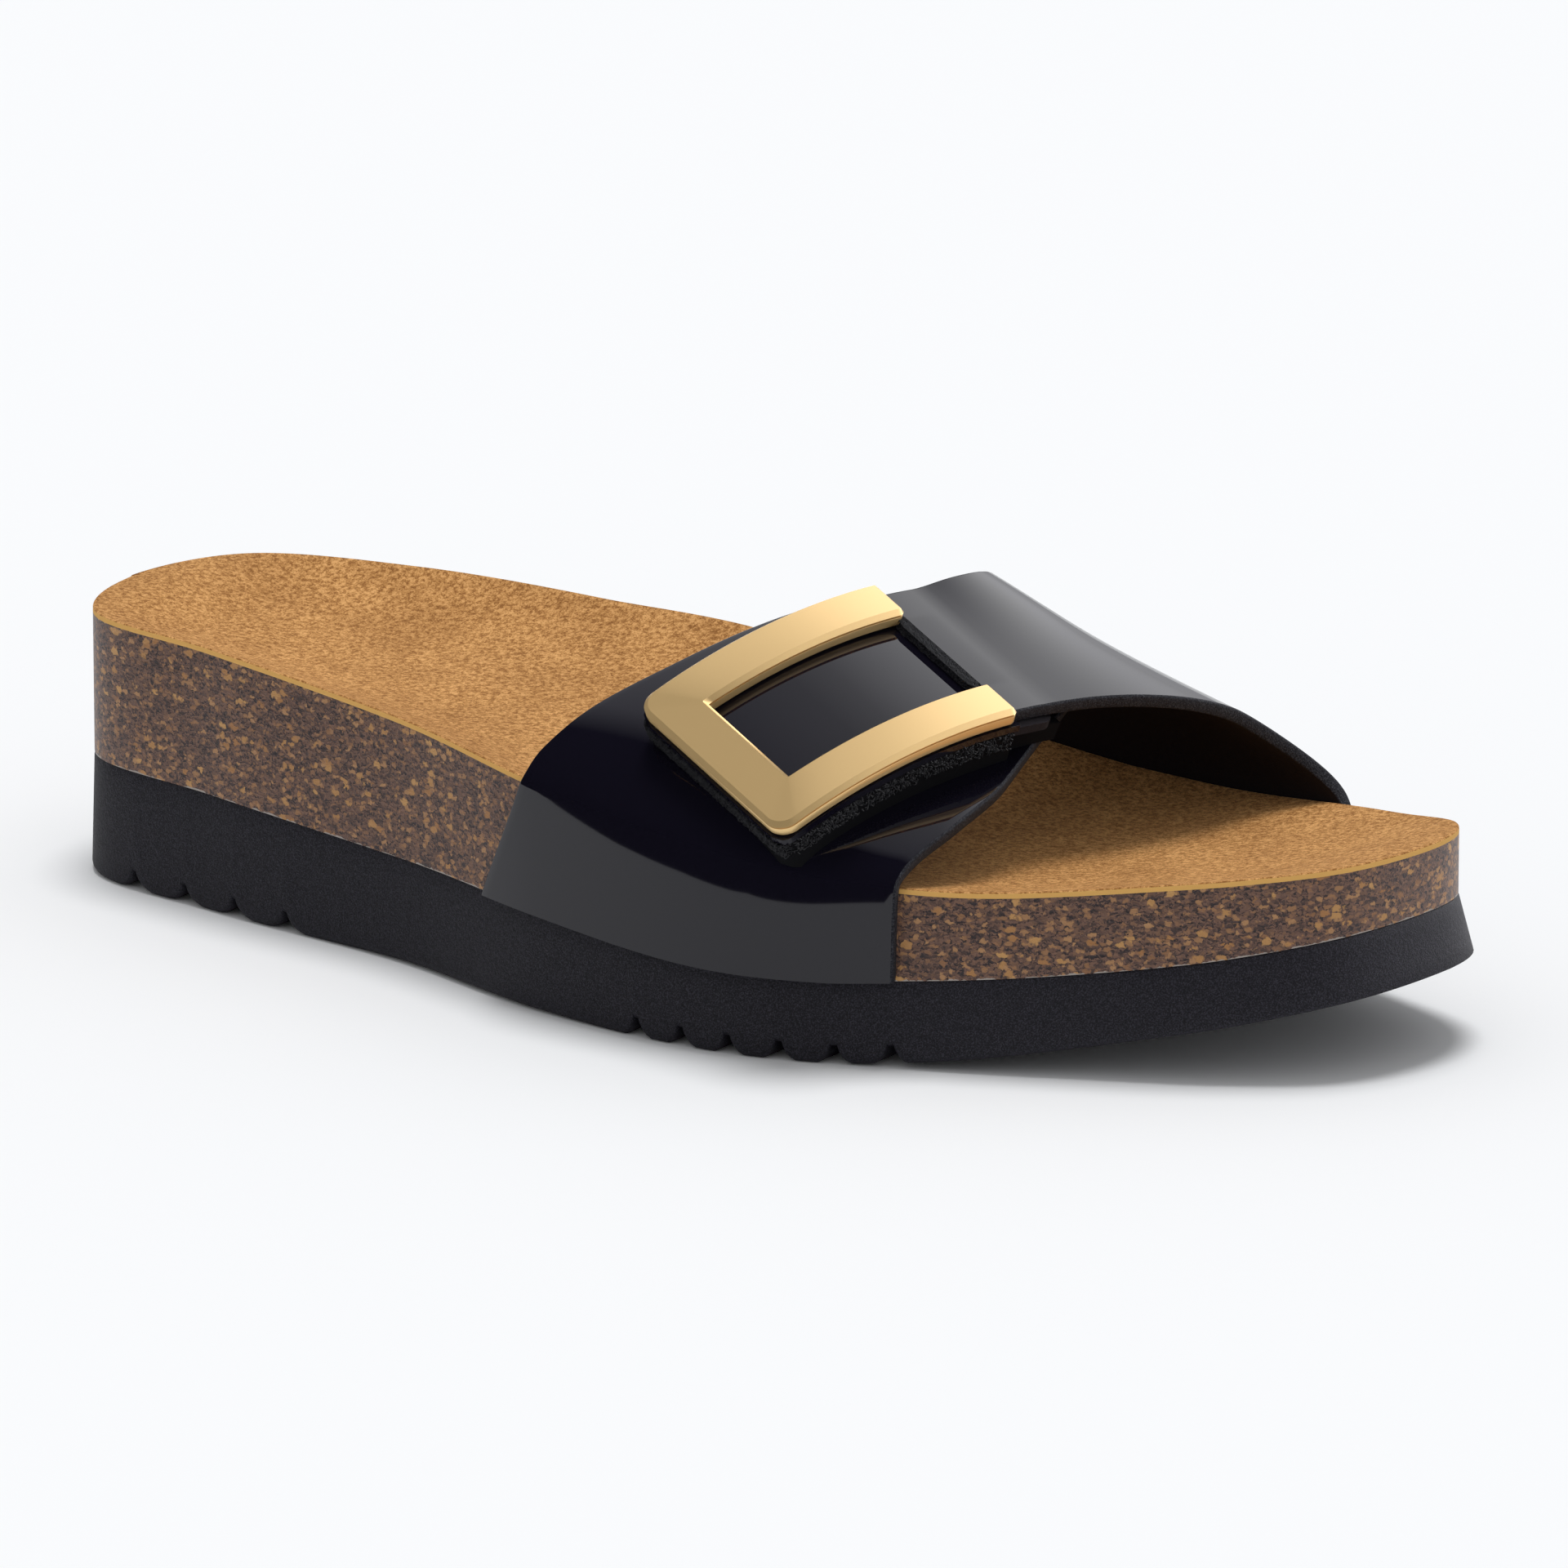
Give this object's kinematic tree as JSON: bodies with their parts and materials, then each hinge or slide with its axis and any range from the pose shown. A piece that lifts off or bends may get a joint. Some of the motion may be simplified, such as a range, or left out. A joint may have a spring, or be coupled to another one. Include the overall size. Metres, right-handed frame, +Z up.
{
  "type": "mule",
  "caption": "Right-foot slide mule with a cork platform, foam outsole, suede footbed and a glossy band closed by a flat rectangular frame buckle.",
  "frame": {"origin": "middle of the shoe's bounding box in plan, on the floor it stands on", "axes": "+X towards the toe, +Y towards the inner (big-toe) side of the right foot, +Z up"},
  "size_m": [0.2552, 0.105, 0.0682],
  "materials": {
    "foam_rubber": "matt fine-celled foam",
    "cork": "sealed granulated cork",
    "suede": "brushed suede",
    "patent": "high-gloss patent",
    "gold_metal": "satin gold"
  },
  "bodies": {
    "root": {"outsole": "foam_rubber", "midsole": "cork", "insole": "suede", "upper": "patent", "buckle": "gold_metal"}
  },
  "joints": []
}
